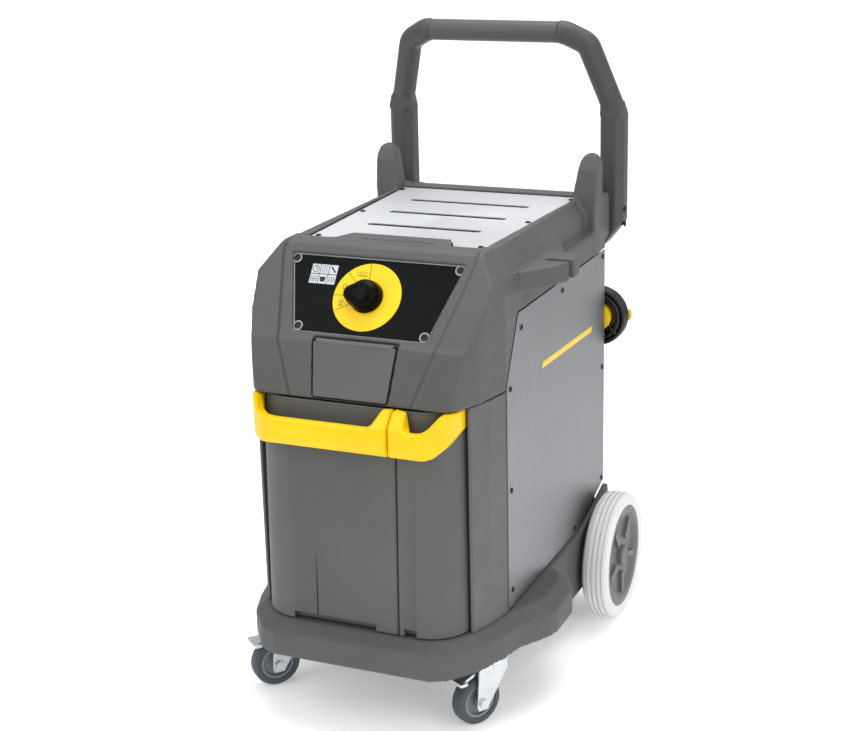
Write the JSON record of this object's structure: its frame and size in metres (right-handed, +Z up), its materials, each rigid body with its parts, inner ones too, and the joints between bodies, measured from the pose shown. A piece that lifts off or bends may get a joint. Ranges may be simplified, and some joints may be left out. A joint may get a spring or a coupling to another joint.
{
  "type": "steam cleaner",
  "caption": "Wheeled commercial steam and suction cleaner with pull-out tanks, steel side covers, leaning control panel, U-shaped push handle and cord hooks at the back.",
  "frame": {"origin": "on the floor, under the middle of the machine's length and width", "axes": "-Y is the front with the tanks and controls, +X is the side with the accessory ledge, +Z is up"},
  "size_m": [0.495, 0.6779, 0.965],
  "materials": {
    "housing_grey": "fine moulded texture, satin",
    "tank_grey": "fine moulded texture, satin",
    "chassis_grey": "rotomoulded texture, matt",
    "handle_grey": "fine texture, satin",
    "signal_yellow": "semi-gloss",
    "panel_black": "gloss film",
    "knob_black": "satin",
    "dial_yellow": "satin film",
    "stainless": "brushed",
    "zinc_steel": "bright zinc plate",
    "black_screw": "black oxide",
    "tyre_light": "non-marking, matt",
    "hub_grey": "satin",
    "caster_tyre": "matt",
    "caster_hub": "satin",
    "cord_black": "satin",
    "steel_inner": "pressed sheet",
    "boiler_steel": "drawn stainless",
    "insulation": "felt wrap",
    "brass": "turned",
    "motor_black": "moulded",
    "pump_white": "moulded",
    "filter_paper": "pleated",
    "board_green": "lacquered"
  },
  "bodies": {
    "machine": {"chassis_base": "chassis_grey", "rear_axle": "zinc_steel", "axle_brackets": "zinc_steel", "body_frame": "housing_grey", "side_panel_screws": "black_screw", "rear_panel": "housing_grey", "rear_panel_screws": "black_screw", "left_side_panel": "stainless", "right_side_panel": "stainless", "upper_housing": "housing_grey", "top_plate": "stainless", "top_plate_screws": "black_screw", "control_panel": "panel_black", "control_panel_screws": "black_screw", "dial_plate": "dial_yellow", "selector_switch": "knob_black", "flap_hinge_pin": "zinc_steel", "hose_socket": "knob_black", "equipment_shelf": "steel_inner", "boiler": "boiler_steel", "boiler_jacket": "insulation", "heating_element": "steel_inner", "steam_valve": "brass", "water_pump": "pump_white", "suction_turbine": "motor_black", "air_filter": "filter_paper", "control_board": "board_green", "push_handle": "handle_grey", "grip_bar": "handle_grey", "handle_screws": "black_screw", "cord_hooks": "signal_yellow", "cord_gland": "motor_black", "power_cord": "cord_black", "cord_hank": "cord_black", "power_plug": "cord_black", "left_wheel_cap": "hub_grey", "left_caster_plate": "zinc_steel", "right_wheel_cap": "hub_grey", "right_caster_plate": "zinc_steel"},
    "knob": {"selector_knob": "knob_black"},
    "flap": {"socket_flap": "housing_grey"},
    "waste_tank_body": {"waste_tank": "tank_grey", "waste_tank_handle": "signal_yellow"},
    "fresh_tank_body": {"fresh_tank": "tank_grey", "fresh_tank_handle": "signal_yellow"},
    "left_wheel": {"left_wheel_tyre": "tyre_light", "left_wheel_hub": "hub_grey"},
    "left_caster_swivel": {"left_caster_fork": "zinc_steel", "left_caster_axle": "zinc_steel"},
    "left_caster_wheel": {"left_caster_tyre": "caster_tyre", "left_caster_hub": "caster_hub"},
    "left_caster_pedal": {"left_caster_brake": "zinc_steel"},
    "right_wheel": {"right_wheel_tyre": "tyre_light", "right_wheel_hub": "hub_grey"},
    "right_caster_swivel": {"right_caster_fork": "zinc_steel", "right_caster_axle": "zinc_steel"},
    "right_caster_wheel": {"right_caster_tyre": "caster_tyre", "right_caster_hub": "caster_hub"},
    "right_caster_pedal": {"right_caster_brake": "zinc_steel"}
  },
  "joints": [
    {"name": "selector_turn", "type": "hinge", "parent": "machine", "child": "knob", "pos_m": [-0.003, -0.2285, 0.6325], "axis": [0, -0.7893, 0.614], "range_deg": [-90, 30]},
    {"name": "flap_swing", "type": "hinge", "parent": "machine", "child": "flap", "pos_m": [0, -0.2785, 0.5785], "axis": [-1, 0, 0], "range_deg": [0, 95], "stiffness_Nm_per_rad": 0.02, "springref_deg": -28.65},
    {"name": "waste_tank_pull", "type": "slide", "parent": "machine", "child": "waste_tank_body", "axis": [0, -1, 0], "range_m": [0, 0.26]},
    {"name": "fresh_tank_pull", "type": "slide", "parent": "machine", "child": "fresh_tank_body", "axis": [0, -1, 0], "range_m": [0, 0.26]},
    {"name": "left_wheel_roll", "type": "hinge", "parent": "machine", "child": "left_wheel", "pos_m": [-0.226, 0.197, 0.104], "axis": [1, 0, 0], "continuous": true},
    {"name": "left_caster_turn", "type": "hinge", "parent": "machine", "child": "left_caster_swivel", "pos_m": [-0.165, -0.204, 0.099], "axis": [0, 0, 1], "continuous": true},
    {"name": "left_caster_roll", "type": "hinge", "parent": "left_caster_swivel", "child": "left_caster_wheel", "pos_m": [-0.18374, -0.22481, 0.0375], "axis": [0.7431, -0.6691, 0], "continuous": true},
    {"name": "left_brake_press", "type": "hinge", "parent": "left_caster_swivel", "child": "left_caster_pedal", "pos_m": [-0.18106, -0.22184, 0.084], "axis": [0.7431, -0.6691, 0], "range_deg": [0, 8]},
    {"name": "right_wheel_roll", "type": "hinge", "parent": "machine", "child": "right_wheel", "pos_m": [0.226, 0.197, 0.104], "axis": [1, 0, 0], "continuous": true},
    {"name": "right_caster_turn", "type": "hinge", "parent": "machine", "child": "right_caster_swivel", "pos_m": [0.165, -0.204, 0.099], "axis": [0, 0, 1], "continuous": true},
    {"name": "right_caster_roll", "type": "hinge", "parent": "right_caster_swivel", "child": "right_caster_wheel", "pos_m": [0.15016, -0.22775, 0.0375], "axis": [0.848, -0.5299, 0], "continuous": true},
    {"name": "right_brake_press", "type": "hinge", "parent": "right_caster_swivel", "child": "right_caster_pedal", "pos_m": [0.15228, -0.22435, 0.084], "axis": [0.848, -0.5299, 0], "range_deg": [0, 8]}
  ]
}
